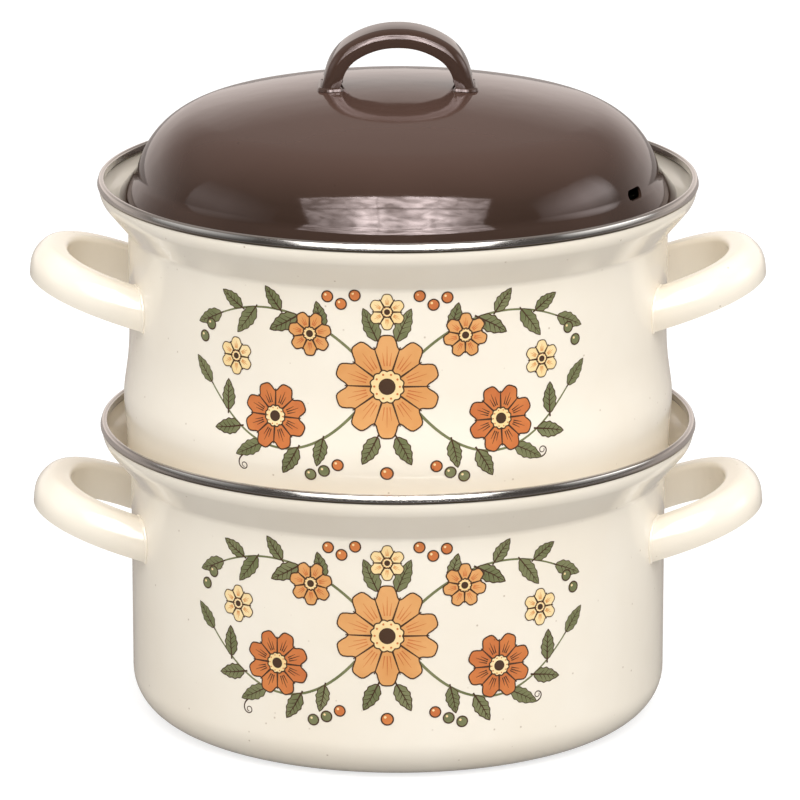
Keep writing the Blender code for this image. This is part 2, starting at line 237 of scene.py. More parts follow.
def rolled_steel(name, tone, bright_tone, smooth, rough):
    """Rolled steel with very fine lines round the rim."""
    material = bpy.data.materials.new(name)
    material.use_nodes = True
    tree = material.node_tree
    shader = tree.nodes["Principled BSDF"]
    place = add_node(tree, "ShaderNodeTexCoord").outputs["Object"]
    across = add_node(tree, "ShaderNodeMapping", [("Vector", place), ("Scale", (30.0, 30.0, 5200.0))])
    lines = add_node(tree, "ShaderNodeTexNoise", [
        ("Vector", across.outputs["Vector"]), ("Scale", 1.0), ("Detail", 3.0)]).outputs["Fac"]
    base = mix_colours(tree, ramp(tree, lines, 0.3, 0.7), tone, bright_tone)
    tree.links.new(base, shader.inputs["Base Color"])
    tree.links.new(ramp(tree, lines, 0.3, 0.7, smooth, rough), shader.inputs["Roughness"])
    bump = add_node(tree, "ShaderNodeBump", [("Strength", 0.08), ("Distance", 0.00003), ("Height", lines)])
    tree.links.new(bump.outputs["Normal"], shader.inputs["Normal"])
    shader.inputs["Metallic"].default_value = 1.0
    return material


rim_steel = rolled_steel("polished_steel", STEEL, STEEL_BRIGHT, 0.10, 0.19)
# The crimp's steel is painted dark: painted shade under the band's lower edge
crimp_shade_steel = rolled_steel("crimp_shade_steel", CRIMP_SHADE, CRIMP_SHADE_PALER, 0.30, 0.45)


def roll_band(name, node, body):
    """The band of one rim, with its turned-in edges in a rougher steel painted dark as painted shade."""
    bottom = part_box(node)[0].z
    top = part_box(node)[1].z
    outer = COLLAR + BAND_GAP + BAND_SHEET
    inner = COLLAR - SHEET - BAND_GAP - BAND_SHEET
    band = start_disc(name, outer - BAND_CRIMP, bottom)
    bpy.ops.mesh.select_mode(type="FACE")
    bpy.ops.mesh.select_all(action="SELECT")
    bpy.ops.mesh.delete(type="ONLY_FACE")
    bpy.ops.mesh.select_mode(type="EDGE")
    bpy.ops.mesh.select_all(action="SELECT")
    draw_wall([
        (outer - BAND_CRIMP, bottom), (outer, bottom + BAND_CURL), (outer, bottom + BAND_KNEE),
        (outer - BAND_TAPER, top), (inner, top), (inner, bottom + BAND_CURL), (inner + BAND_CRIMP, bottom)])
    round_ring(band, outer - BAND_TAPER, top, BAND_ROUND, 8)
    round_ring(band, inner, top, BAND_ROUND, 8)
    face_outwards(band)
    give_sheet(band, BAND_SHEET)
    shade(band)
    band.data.materials.append(rim_steel)
    band.data.materials.append(crimp_shade_steel)
    # Faces of the lower curl take the steel painted dark as painted shade
    for face in band.data.polygons:
        if max(band.data.vertices[k].co.z for k in face.vertices) < bottom + BAND_CURL + TOUCH:
            face.material_index = 1
    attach(band, body)
    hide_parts(node)


roll_band("lower_band", "lower_rim_band", "water_pot")

# The side handles are pressed from sheet into an open channel, bent into a loop, welded to the wall and
# enamelled with the pot. The outer side is a soft round, the inner flange is straight, and the loop
# rises away from the wall.
HANDLE_REACH = 0.0280
HANDLE_ROOT = 0.0150
HANDLE_HALF_GAP = 0.0300
HANDLE_TIP_PULL = 0.0290
HANDLE_SIDE_PULL = 0.0220
HANDLE_SPREAD = 0.0040
HANDLE_TOP_WIDTH = 0.0100
HANDLE_WIDTH = 0.0150
HANDLE_LIP_WIDTH = 0.0130
HANDLE_DEPTH = 0.0168
HANDLE_WIDEST_DROP = 0.0085
HANDLE_TILT = math.radians(19.0)
HANDLE_LIP_ROUND = 0.00055
HANDLE_FACET = math.radians(35)
LOWER_HANDLE_DROP = 0.0130
STEAMER_HANDLE_DROP = 0.0180
WALL_GAP = 0.0003
WELD = 0.0007


def corner_points(corners, steps):
    """Points of a line through (x, y, rounding) corners."""
    places = [Vector(corner[:2]) for corner in corners]
    points = [places[0]]
    for k in range(1, len(corners) - 1):
        incoming = (places[k] - places[k - 1]).normalized()
        outgoing = (places[k + 1] - places[k]).normalized()
        turn = math.atan2(incoming.x * outgoing.y - incoming.y * outgoing.x, incoming.dot(outgoing))
        radius = corners[k][2]
        start = places[k] - incoming * radius * math.tan(abs(turn) / 2)
        to_centre = Vector((-incoming.y, incoming.x)) * math.copysign(radius, turn)
        points += [
            start + to_centre - Matrix.Rotation(turn * s / steps, 2) @ to_centre for s in range(steps + 1)]
    points.append(places[-1])
    return points


def flat_line(name, points):
    curve = bpy.data.curves.new(name, "CURVE")
    curve.dimensions = "2D"
    curve.fill_mode = "NONE"
    spline = curve.splines.new("POLY")
    spline.points.add(len(points) - 1)
    for k, point in enumerate(points):
        spline.points[k].co = (point.x, point.y, 0, 1)
    item = bpy.data.objects.new(name, curve)
    bpy.context.scene.collection.objects.link(item)
    return item


def sweep(path, section):
    """The sheet that the section makes along the path, as a mesh object. Both lines are used up."""
    path.data.bevel_mode = "OBJECT"
    path.data.bevel_object = section
    pick(path)
    bpy.ops.object.convert(target="MESH")
    bpy.data.objects.remove(section)
    bpy.ops.object.mode_set(mode="EDIT")
    bpy.ops.mesh.select_all(action="SELECT")
    bpy.ops.mesh.remove_doubles(threshold=1e-5)
    bpy.ops.object.mode_set(mode="OBJECT")
    return bpy.context.object


def trim(piece, cutter):
    """Takes away what the cutter holds, and the cutter."""
    cut = piece.modifiers.new("trim", "BOOLEAN")
    cut.operation = "DIFFERENCE"
    cut.solver = "EXACT"
    cut.object = cutter
    apply_all(piece)
    bpy.data.objects.remove(cutter)


def soften_lips(piece, width):
    lips = piece.modifiers.new("lips", "BEVEL")
    lips.width = width
    lips.segments = 3
    lips.limit_method = "ANGLE"
    lips.angle_limit = math.radians(50)
    lips.harden_normals = False
    lips.use_clamp_overlap = True
    apply_all(piece)


def run_weld(piece, at_joint, size):
    """A round bead of glazed-over weld along the edges of the faces that meet the joint."""
    pick(piece)
    bpy.ops.object.mode_set(mode="EDIT")
    bpy.ops.mesh.select_mode(type="FACE")
    bpy.ops.mesh.select_all(action="DESELECT")
    mesh = bmesh.from_edit_mesh(piece.data)
    for face in mesh.faces:
        if all(at_joint(v.co) for v in face.verts):
            face.select_set(True)
    bmesh.update_edit_mesh(piece.data)
    bpy.ops.mesh.region_to_loop()
    bpy.ops.mesh.duplicate()
    bpy.ops.mesh.separate(type="SELECTED")
    bpy.ops.object.mode_set(mode="OBJECT")
    bead = [item for item in bpy.context.selected_objects if item is not piece][0]
    pick(bead)
    bpy.ops.object.convert(target="CURVE")
    bead.data.bevel_depth = size
    bead.data.bevel_resolution = 2
    bpy.ops.object.convert(target="MESH")
    return bpy.context.object


def add_weld(piece, bead):
    pick(piece)
    bead.select_set(True)
    bpy.ops.object.join()


def bend_handle(name, node, body, side, neck, drop):
    """One loop handle on the left (-1) or right (1), this far below the height of the wall's top."""
    section = flat_line("handle_section", corner_points([
        (0.0, -HANDLE_DEPTH, 0.0), (0.0, 0.0, 0.0025), (HANDLE_TOP_WIDTH, 0.0, 0.0065),
        (HANDLE_WIDTH, -HANDLE_WIDEST_DROP, 0.0120), (HANDLE_LIP_WIDTH, -HANDLE_DEPTH, 0.0)], 7))
    bpy.ops.object.select_all(action="DESELECT")
    bpy.ops.curve.primitive_bezier_curve_add()
    path = bpy.context.object
    path.name = name
    path.data.dimensions = "2D"
    path.data.fill_mode = "NONE"
    path.data.resolution_u = 26
    spline = path.data.splines[0]
    spline.bezier_points.add(1)
    for point in spline.bezier_points:
        point.handle_left_type = "FREE"
        point.handle_right_type = "FREE"
    pull = HANDLE_SIDE_PULL - HANDLE_ROOT
    for point, end in ((spline.bezier_points[0], -1), (spline.bezier_points[2], 1)):
        point.co = (-HANDLE_ROOT, end * HANDLE_HALF_GAP, 0)
        point.handle_left = (pull, end * (HANDLE_HALF_GAP + HANDLE_SPREAD), 0)
        point.handle_right = (pull, end * (HANDLE_HALF_GAP + HANDLE_SPREAD), 0)
    tip = spline.bezier_points[1]
    tip.co = (HANDLE_REACH, 0, 0)
    tip.handle_left = (HANDLE_REACH, -HANDLE_TIP_PULL, 0)
    tip.handle_right = (HANDLE_REACH, HANDLE_TIP_PULL, 0)
    handle = sweep(path, section)
    turn = Matrix.Rotation(0 if side > 0 else math.pi, 4, "Z") @ Matrix.Rotation(-HANDLE_TILT, 4, "Y")
    handle.data.transform(Matrix.Translation((side * WALL, 0, neck - drop)) @ turn)
    give_sheet(handle, SHEET)
    bpy.ops.object.select_all(action="DESELECT")
    bpy.ops.mesh.primitive_cylinder_add(
        vertices=ROUND_STEPS, radius=WALL + WALL_GAP, depth=0.2, location=(0, 0, neck))
    trim(handle, bpy.context.object)
    weld = run_weld(handle, lambda place: math.hypot(place.x, place.y) < WALL + WALL_GAP + TOUCH, WELD)
    soften_lips(handle, HANDLE_LIP_ROUND)
    add_weld(handle, weld)
    shade(handle, HANDLE_FACET)
    handle.data.materials.clear()
    handle.data.materials.append(cream_enamel)
    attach(handle, body)
    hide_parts(node)


bend_handle("lower_loop_left", "lower_handle_left", "water_pot", -1, pot_neck, LOWER_HANDLE_DROP)
bend_handle("lower_loop_right", "lower_handle_right", "water_pot", 1, pot_neck, LOWER_HANDLE_DROP)

# The steamer pot is drawn and enamelled like the water pot. Below the wall it swells into a soft bead,
# then steps in to a skirt that goes down into the water pot, and its base is punched with steam holes.
SEAT = 0.1220
SKIRT = 0.1170
BEAD = 0.1237
STEAMER_CORNER = 0.0080
SEAT_RISE = 0.0180
SEAT_ROUND = 0.0008
BEAD_FOOT_RISE = 0.0350
BEAD_FOOT_ROUND = 0.0050
BEAD_RISE = 0.0480
BEAD_ROUND = 0.0056
BEAD_TOP_RISE = 0.0700
BEAD_TOP_ROUND = 0.0080
HOLE_RADIUS = 0.0035
HOLE_PITCH = 0.0235
HOLE_RINGS = 4
HOLE_SIDES = 20
PUNCH_LENGTH = 6 * SHEET

steamer_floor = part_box("steamer_pot")[0].z
steamer_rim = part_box("steamer_pot")[1].z
steamer_neck = steamer_rim - COLLAR_DEPTH
steamer_shoulder = steamer_rim - COLLAR_LIP
ledge_slope = (COLLAR_DEPTH - COLLAR_LIP) / (COLLAR - WALL)
seat_height = steamer_floor + SEAT_RISE
skirt_top = seat_height - (SEAT - SKIRT) * ledge_slope
bead_foot = steamer_floor + BEAD_FOOT_RISE
bead_height = steamer_floor + BEAD_RISE
bead_top = steamer_floor + BEAD_TOP_RISE

steamer_pot = start_disc("steamer_pot_body", SKIRT - STEAMER_CORNER, steamer_floor)
draw_wall([
    (SKIRT - STEAMER_CORNER, steamer_floor), (SKIRT, steamer_floor), (SKIRT, skirt_top),
    (SEAT, seat_height), (SEAT, bead_foot), (BEAD, bead_height), (WALL, bead_top), (WALL, steamer_neck),
    (COLLAR, steamer_shoulder), (COLLAR, steamer_rim)])
round_ring(steamer_pot, SKIRT, steamer_floor, STEAMER_CORNER * 0.9999, 10)
round_ring(steamer_pot, SKIRT, skirt_top, SEAT_ROUND, 3)
round_ring(steamer_pot, SEAT, seat_height, SEAT_ROUND, 3)
round_ring(steamer_pot, SEAT, bead_foot, BEAD_FOOT_ROUND, 5)
round_ring(steamer_pot, BEAD, bead_height, BEAD_ROUND, 8)
round_ring(steamer_pot, WALL, bead_top, BEAD_TOP_ROUND, 6)
round_ring(steamer_pot, WALL, steamer_neck, LEDGE_BEND, 6)
round_ring(steamer_pot, COLLAR, steamer_shoulder, COLLAR_BEND, 8)
face_outwards(steamer_pot)
give_sheet(steamer_pot, SHEET)

bpy.ops.object.select_all(action="DESELECT")
bpy.ops.mesh.primitive_cylinder_add(
    vertices=HOLE_SIDES, radius=HOLE_RADIUS, depth=PUNCH_LENGTH, location=(0, 0, steamer_floor))
punch = bpy.context.object
for ring in range(1, HOLE_RINGS + 1):
    for k in range(6 * ring):
        bearing = 2 * math.pi * k / (6 * ring)
        reach = ring * HOLE_PITCH
        bpy.ops.mesh.primitive_cylinder_add(
            vertices=HOLE_SIDES, radius=HOLE_RADIUS, depth=PUNCH_LENGTH,
            location=(reach * math.cos(bearing), reach * math.sin(bearing), steamer_floor))
        bpy.context.object.select_set(True)
        punch.select_set(True)
        bpy.context.view_layer.objects.active = punch
        bpy.ops.object.join()
trim(steamer_pot, punch)
shade(steamer_pot)
steamer_pot.data.materials.append(cream_enamel)
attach(steamer_pot, "steamer")
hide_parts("steamer_pot")

# The steamer's rim has the same rolled steel band as the water pot's, and the same two welded handles.
# Its handles sit a little lower under the collar than the water pot's do.
roll_band("steamer_band", "steamer_rim_band", "steamer")
bend_handle("steamer_loop_left", "steamer_handle_left", "steamer", -1, steamer_neck, STEAMER_HANDLE_DROP)
bend_handle("steamer_loop_right", "steamer_handle_right", "steamer", 1, steamer_neck, STEAMER_HANDLE_DROP)

# The lid is drawn in one piece from thinner sheet and enamelled dark brown. A shallow crown turns through
# a full shoulder that is steep at its foot, then flares to a turned-down edge that lies on the steamer's
# ledge. One round-ended slot at the shoulder's foot lets steam out.
LID_SHEET = 0.0012
LID_EDGE = 0.1245
LID_EDGE_RISE = 0.0076
LID_FOOT = 0.1180
LID_FOOT_RISE = 0.0105
LID_WALL_LENGTH = 0.00604
LID_WALL_SLOPE = math.radians(11.3)
LID_SHOULDER = 0.0378
LID_CROWN = 0.3550
LID_CROWN_STEPS = 14
LID_SHOULDER_STEPS = 18
LID_TURN = math.radians(15.5)
LID_FLARE = 0.0019
LID_EDGE_ROUND = 0.0013
SLOT_LENGTH = 0.0128
SLOT_WIDTH = 0.0048
SLOT_RISE = 0.0190
SLOT_BEARING = math.radians(-27.0)
SLOT_TOOL_LENGTH = 0.03
BROWN = (0.0360, 0.0205, 0.0145, 1.0)
BROWN_POOLED = (0.0440, 0.0250, 0.0180, 1.0)
# Lighter brown painted on the lid's upper part as painted light
BROWN_PAINTED_LIGHT = (0.0850, 0.0480, 0.0370, 1.0)
BROWN_EDGE = (0.0600, 0.0340, 0.0250, 1.0)
BROWN_SPECK = (0.020, 0.011, 0.008, 1.0)
# Heights above the lid's edge over which the brown turns to that painted light
PAINTED_LIGHT_FROM = 0.026
PAINTED_LIGHT_FULL_AT = 0.052
BROWN_TINT = (1.0, 0.84, 0.83, 1.0)

lid_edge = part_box("lid")[0].z
# The lid's enamel is painted lighter towards its crown as painted light
brown_enamel = enamel("brown_enamel_glaze", BROWN, BROWN_POOLED, BROWN_SPECK, 0.06, 0.075,
                      painted_light_fade=(lid_edge + PAINTED_LIGHT_FROM, lid_edge + PAINTED_LIGHT_FULL_AT, BROWN_PAINTED_LIGHT))
brown_enamel.node_tree.nodes["Principled BSDF"].inputs["Specular Tint"].default_value = BROWN_TINT
outward = Vector((math.cos(LID_WALL_SLOPE), math.sin(LID_WALL_SLOPE)))
wall_top = Vector((LID_FOOT, lid_edge + LID_FOOT_RISE)) + Vector((-outward.y, outward.x)) * LID_WALL_LENGTH
shoulder_centre = wall_top - outward * LID_SHOULDER
reach = LID_CROWN - LID_SHOULDER
crown_centre = Vector((0, shoulder_centre.y - math.sqrt(reach ** 2 - shoulder_centre.x ** 2)))
joint = math.atan2(shoulder_centre.y - crown_centre.y, shoulder_centre.x)

# Rings of the dome's outer face, from near the apex down to the flare
dome = []
for k in range(1, LID_CROWN_STEPS):
    bearing = math.pi / 2 + (joint - math.pi / 2) * k / LID_CROWN_STEPS
    dome.append((LID_CROWN * math.cos(bearing), crown_centre.y + LID_CROWN * math.sin(bearing)))
for k in range(LID_SHOULDER_STEPS + 1):
    bearing = joint + (LID_TURN - joint) * k / LID_SHOULDER_STEPS
    dome.append((shoulder_centre.x + LID_SHOULDER * math.cos(bearing),
                 shoulder_centre.y + LID_SHOULDER * math.sin(bearing)))
flare_foot = (dome[-1][0] + LID_FLARE * math.sin(LID_TURN), dome[-1][1] - LID_FLARE * math.cos(LID_TURN))
lid = start_disc("lid_dome", *dome[0])
draw_wall(dome + [flare_foot, (LID_EDGE, lid_edge + LID_EDGE_RISE), (LID_EDGE, lid_edge)])
round_ring(lid, *flare_foot, LID_FLARE * 0.98, 14)
round_ring(lid, LID_EDGE, lid_edge + LID_EDGE_RISE, LID_EDGE_ROUND, 5)
bpy.ops.mesh.select_mode(type="FACE")
bpy.ops.mesh.select_all(action="DESELECT")
crown_mesh = bmesh.from_edit_mesh(lid.data)
for face in crown_mesh.faces:
    if len(face.verts) == ROUND_STEPS:
        face.select_set(True)
bmesh.update_edit_mesh(lid.data)
bpy.ops.mesh.poke(offset=crown_centre.y + LID_CROWN - dome[0][1])
face_outwards(lid)
give_sheet(lid, LID_SHEET)

bpy.ops.object.select_all(action="DESELECT")
bpy.ops.mesh.primitive_cylinder_add(
    vertices=32, radius=SLOT_WIDTH / 2, depth=SLOT_TOOL_LENGTH, rotation=(0, math.pi / 2, 0))
slot_tool = bpy.context.object
bpy.ops.object.transform_apply(location=True, rotation=True, scale=True)
for vertex in slot_tool.data.vertices:
    vertex.co.y += math.copysign((SLOT_LENGTH - SLOT_WIDTH) / 2, vertex.co.y)
slot_tool.data.transform(
    Matrix.Rotation(SLOT_BEARING, 4, "Z") @ Matrix.Translation((LID_FOOT, 0, lid_edge + SLOT_RISE)))
trim(lid, slot_tool)
shade(lid)
lid.data.materials.append(brown_enamel)
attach(lid, "lid")
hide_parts("lid")

# The lid's handle is a strap of sheet with its long edges turned down over rounded shoulders, bent into
# an arch, welded on top of the dome at both feet and enamelled brown with the lid.
GRIP_HALF_SPAN = 0.0362
GRIP_SHOULDER = 0.0293
GRIP_CROWN = 0.0120
GRIP_RISE = 0.0262
GRIP_SHOULDER_DROP = 0.0109
GRIP_WIDTH = 0.0240
GRIP_DEPTH = 0.0079
GRIP_ROUND = 0.0046
GRIP_SHOULDER_BEND = 0.0230
GRIP_CROWN_BEND = 0.0390
GRIP_LIP_ROUND = 0.0005
GRIP_SHEET = 0.0014
GRIP_WELD = 0.0014
# A dome falls by its reach squared over twice its radius. Slightly more than two finds the cut ends
TOE_DIVISOR = 2.05

lid_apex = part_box("lid")[1].z
grip_enamel = enamel("brown_enamel_grip", BROWN_POOLED, BROWN_EDGE, BROWN_SPECK, 0.06, 0.05)
grip_enamel.node_tree.nodes["Principled BSDF"].inputs["Specular Tint"].default_value = BROWN_TINT
grip_section = flat_line("grip_section", corner_points([
    (GRIP_DEPTH, -GRIP_WIDTH / 2, 0.0), (0.0, -GRIP_WIDTH / 2, GRIP_ROUND),
    (0.0, GRIP_WIDTH / 2, GRIP_ROUND), (GRIP_DEPTH, GRIP_WIDTH / 2, 0.0)], 10))
grip_path = flat_line("lid_grip", corner_points([
    (-GRIP_HALF_SPAN, -GRIP_DEPTH, 0.0),
    (-GRIP_SHOULDER, GRIP_RISE - GRIP_SHOULDER_DROP, GRIP_SHOULDER_BEND),
    (-GRIP_CROWN, GRIP_RISE, GRIP_CROWN_BEND), (GRIP_CROWN, GRIP_RISE, GRIP_CROWN_BEND),
    (GRIP_SHOULDER, GRIP_RISE - GRIP_SHOULDER_DROP, GRIP_SHOULDER_BEND),
    (GRIP_HALF_SPAN, -GRIP_DEPTH, 0.0)], 12))
grip = sweep(grip_path, grip_section)
grip.data.transform(Matrix.Translation((0, 0, lid_apex)) @ Matrix.Rotation(math.pi / 2, 4, "X"))
give_sheet(grip, GRIP_SHEET)
dome_tool = start_disc("dome_tool", *dome[0])
draw_wall(dome + [(dome[-1][0], lid_edge)])
bpy.ops.mesh.edge_face_add()
face_outwards(dome_tool)
dome_tool.data.transform(Matrix.Translation((0, 0, WALL_GAP)))
trim(grip, dome_tool)
tool_top = crown_centre.y + LID_CROWN + WALL_GAP
toe_weld = run_weld(
    grip, lambda place: tool_top - place.z > math.hypot(place.x, place.y) ** 2 / (TOE_DIVISOR * LID_CROWN),
    GRIP_WELD)
soften_lips(grip, GRIP_LIP_ROUND)
add_weld(grip, toe_weld)
shade(grip, HANDLE_FACET)
grip.data.materials.clear()
grip.data.materials.append(grip_enamel)
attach(grip, "lid")
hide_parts("lid_handle")

# Both pots have a garland of flowers on the front, printed as a ceramic transfer and fired into the
# glaze. Each colour is a thin glossy film, and the shapes are outlined in dark brown.
MM = 0.001
OUTLINE = 0.00060
FINE_OUTLINE = 0.00045
FILM_STEP = 0.00003
FILM_SHEET = 0.00002
PRINT_RADIUS = 0.1210
PRINT_CELL = 4
PRINT_TURN = math.radians(-2.2)
PRINT_SIDE_REACH = 104
PRINT_RISE_REACH = 48
LOWER_PRINT_HEIGHT = 0.0680
STEAMER_PRINT_HEIGHT = 0.1800
INK = (0.070, 0.036, 0.020, 1.0)
OCHRE = (0.700, 0.320, 0.105, 1.0)
RUST = (0.560, 0.160, 0.050, 1.0)
OLIVE = (0.215, 0.220, 0.105, 1.0)
STRAW = (0.880, 0.640, 0.300, 1.0)

ink = enamel("ink_print", INK, (0.075, 0.040, 0.024, 1.0), INK, 0.05, 0.14, 60.0)
ochre = enamel("ochre_print", OCHRE, (0.760, 0.385, 0.145, 1.0), RUST, 0.12, 0.13, 55.0)
rust = enamel("rust_print", RUST, (0.660, 0.220, 0.065, 1.0), INK, 0.12, 0.13, 55.0)
olive = enamel("olive_print", OLIVE, (0.150, 0.165, 0.070, 1.0), INK, 0.12, 0.13, 70.0)
straw = enamel("straw_print", STRAW, (0.930, 0.740, 0.420, 1.0), OCHRE, 0.10, 0.13, 60.0)


def cut_shape(name, outline, edge, fill=None, rim=OUTLINE):
    """A flat shape through (x, z) points in millimetres, with an inset edge if it has a fill."""
    bpy.ops.object.select_all(action="DESELECT")
    bpy.ops.mesh.primitive_circle_add(vertices=len(outline), radius=1, fill_type="NGON")
    shape = bpy.context.object
    shape.name = name
    for vertex, (x, z) in zip(shape.data.vertices, outline):
        vertex.co = (x * MM, 0, z * MM)
    shape.data.materials.append(edge)
    if fill:
        shape.data.materials.append(fill)
        bpy.ops.object.mode_set(mode="EDIT")
        bpy.ops.mesh.select_mode(type="FACE")
        bpy.ops.mesh.select_all(action="SELECT")
        bpy.ops.mesh.inset(thickness=rim)
        shape.active_material_index = 1
        bpy.ops.object.material_slot_assign()
        bpy.ops.object.mode_set(mode="OBJECT")
    return shape


def ring_points(radius, steps, notches=0, depth=0.0, sharpness=5):
    points = []
    for k in range(steps):
        bearing = 2 * math.pi * k / steps
        r = radius * (1 - depth * abs(math.cos(bearing * notches / 2)) ** sharpness)
        points.append((r * math.cos(bearing), r * math.sin(bearing)))
    return points


def stroke_points(path, root, tip):
    """Outline of a brush stroke along the path, with these widths at its ends."""
    near, far = [], []
    for k, (x, z) in enumerate(path):
        (x0, z0), (x1, z1) = path[max(k - 1, 0)], path[min(k + 1, len(path) - 1)]
        run = math.hypot(x1 - x0, z1 - z0)
        half = (root + (tip - root) * k / (len(path) - 1)) / 2
        side = ((z1 - z0) / run * half, -(x1 - x0) / run * half)
        near.append((x + side[0], z + side[1]))
        far.append((x - side[0], z - side[1]))
    return near + far[::-1]


def ray(bearing, near, far):
    return [(r * math.cos(bearing), r * math.sin(bearing)) for r in (near, (near + far) / 2, far)]


def bloom(radius, petals, fill, shade_ink, depth=0.24, sharpness=5, rim=OUTLINE):
    """A flower from above as shapes on films 0 to 3: petals, their lines, the heart and its seeds."""
    outline = ring_points(radius, petals * 12, petals, depth, sharpness)
    parts = [(0, cut_shape("petals", outline, ink, fill, rim))]
    for k in range(petals):
        gap = 2 * math.pi * k / petals
        middle = gap + math.pi / petals
        parts.append((1, cut_shape("gap", stroke_points(
            ray(gap, radius * 0.30, radius * 0.80), 0.9, 0.45), ink)))
        for lean, reach in ((-0.13, 0.66), (0.0, 0.78), (0.13, 0.66)):
            parts.append((1, cut_shape("vein", stroke_points(
                ray(middle + lean, radius * 0.40, radius * reach), 0.55, 0.15), shade_ink)))
    parts.append((2, cut_shape("heart", ring_points(radius * 0.34, 48, 12, 0.10, 3), ink, straw)))
    parts.append((3, cut_shape("eye", ring_points(radius * 0.16, 24), ink)))
    for k in range(10):
        x, z = ring_points(radius * 0.24, 10)[k]
        seed = [(x + a, z + b) for a, b in ring_points(radius * 0.022, 8)]
        parts.append((3, cut_shape("seed", seed, rust)))
    return parts


def leaf(length, width):
    """A leaf with a scalloped edge along +X on films 0 and 1, with its ribs."""
    def half(t):
        scallop = 1 - 0.13 * abs(math.sin(math.pi * 4.5 * t)) ** 2
        return width / 2 * math.sin(math.pi * t ** 0.75) ** 0.8 * scallop
    along = [k / 40 for k in range(41)]
    edge = [(length * t, -half(t)) for t in along] + [(length * t, half(t)) for t in reversed(along[1:-1])]
    rib = [(-1.5, 0), (length * 0.5, 0.3), (length * 0.93, 0)]
    parts = [(0, cut_shape("leaf", edge, ink, olive, FINE_OUTLINE)),
             (1, cut_shape("rib", stroke_points(rib, 0.8, 0.2), ink))]
    for t in (0.22, 0.38, 0.54, 0.70):
        for side in (-1, 1):
            end = (length * (t + 0.15), side * width * 0.36 * math.sin(math.pi * (t + 0.1)))
            parts.append((1, cut_shape("side_rib", stroke_points(
                [(length * t, 0), ((length * t + end[0]) / 2, end[1] * 0.42), end], 0.42, 0.12), ink)))
    return parts


def berry(radius, fill):
    glint = [(x - radius * 0.3, z + radius * 0.3) for x, z in ring_points(radius * 0.2, 12)]
    return [(0, cut_shape("berry", ring_points(radius, 28), ink, fill)),
            (1, cut_shape("glint", glint, straw))]


def curl(turns, length):
    """A tendril that runs out along +X and winds up tighter and tighter."""
    steps = 48
    place, path = Vector((0, 0)), [(0.0, 0.0)]
    for k in range(1, steps + 1):
        heading = turns * math.tau * (k / steps) ** 2.4
        place += Vector((math.cos(heading), math.sin(heading))) * length / steps
        path.append(tuple(place))
    return [(0, cut_shape("curl", stroke_points(path, 0.8, 0.35), ink))]


def arc_point(start, bend, end, t):
    """Place and heading in degrees on the stem that bends from start to end."""
    place = [(1 - t) ** 2 * a + 2 * t * (1 - t) * b + t * t * c for a, b, c in zip(start, bend, end)]
    run = [2 * (1 - t) * (b - a) + 2 * t * (c - b) for a, b, c in zip(start, bend, end)]
    return place, math.degrees(math.atan2(run[1], run[0]))


garland = []


def stamp(motif, film, x, z, turn=0.0, size=1.0):
    """Lays copies of a motif's shapes on the garland. The shapes of a higher film lie over the others."""
    place = (Matrix.Translation((x * MM, 0, z * MM)) @ Matrix.Rotation(-math.radians(turn), 4, "Y")
             @ Matrix.Scale(size, 4))
    for step, shape in motif:
        copy = bpy.data.objects.new(shape.name, shape.data.copy())
        bpy.context.scene.collection.objects.link(copy)
        copy.data.transform(Matrix.Translation((0, -FILM_STEP * (film + step + 2), 0)) @ place)
        garland.append(copy)


big_bloom = bloom(23.0, 10, ochre, rust)
side_bloom = bloom(15.0, 8, rust, ink)
small_bloom = bloom(10.0, 7, ochre, rust)
daisy = bloom(8.5, 6, straw, ochre, 0.26, 4, FINE_OUTLINE)
long_leaf = leaf(20.0, 9.5)
short_leaf = leaf(14.0, 7.5)
red_berry = berry(2.7, rust)
green_berry = berry(2.7, olive)
small_curl = curl(1.4, 20.0)

# Stems in millimetres from the middle flower, and on each the place along it, side, kind and size of
# its leaves
UPPER_STEM = ((12, 12), (42, 42), (78, 26))
LOWER_STEM = ((14, -12), (48, -50), (84, -6))
UPPER_LEAVES = (
    (0.26, 1, short_leaf, 0.9), (0.44, -1, short_leaf, 1.1), (0.56, 1, short_leaf, 0.9),
    (0.74, -1, long_leaf, 0.8), (0.84, 1, short_leaf, 0.9), (1.0, 0, long_leaf, 0.75))
LOWER_LEAVES = (
    (0.20, -1, short_leaf, 0.9), (0.36, -1, short_leaf, 1.0), (0.60, -1, long_leaf, 0.75),
    (0.76, -1, short_leaf, 1.0), (0.86, 1, short_leaf, 1.0), (1.0, 0, long_leaf, 0.7))
LEAF_SPREAD = 46
BERRIES = (
    (20, 36, red_berry), (26, 39, red_berry), (14, 40, red_berry), (27, -38, green_berry),
    (33, -40, green_berry), (21, -35, red_berry), (88, 14, green_berry), (84, 20, green_berry))
for hand in (1, -1):
    for stem in (UPPER_STEM, LOWER_STEM):
        path = [arc_point(*stem, k / 30)[0] for k in range(31)]
        line = cut_shape("stem", stroke_points(path, 1.3, 0.7), olive)
        stamp([(0, line)], 0, 0, 0, 0.0 if hand > 0 else 180.0)
        bpy.data.objects.remove(line)
        if hand < 0:
            garland[-1].data.transform(Matrix.Diagonal((1, 1, -1, 1)))
    for stem, leaves in ((UPPER_STEM, UPPER_LEAVES), (LOWER_STEM, LOWER_LEAVES)):
        for t, side, motif, size in leaves:
            (x, z), heading = arc_point(*stem, t)
            heading += LEAF_SPREAD * side
            stamp(motif, 1, hand * x, z, heading if hand > 0 else 180 - heading, size)
    stamp(side_bloom, 3, hand * 50, -16)
    stamp(daisy, 3, hand * 70, 8)
    stamp(small_bloom, 3, hand * 34, 22, 12 * hand)
    for x, z, motif in BERRIES:
        stamp(motif, 3, hand * x, z)
    stamp(small_curl, 0, hand * 62, -33, -30 if hand > 0 else 210)
stamp(short_leaf, 1, 4, -22, -62)
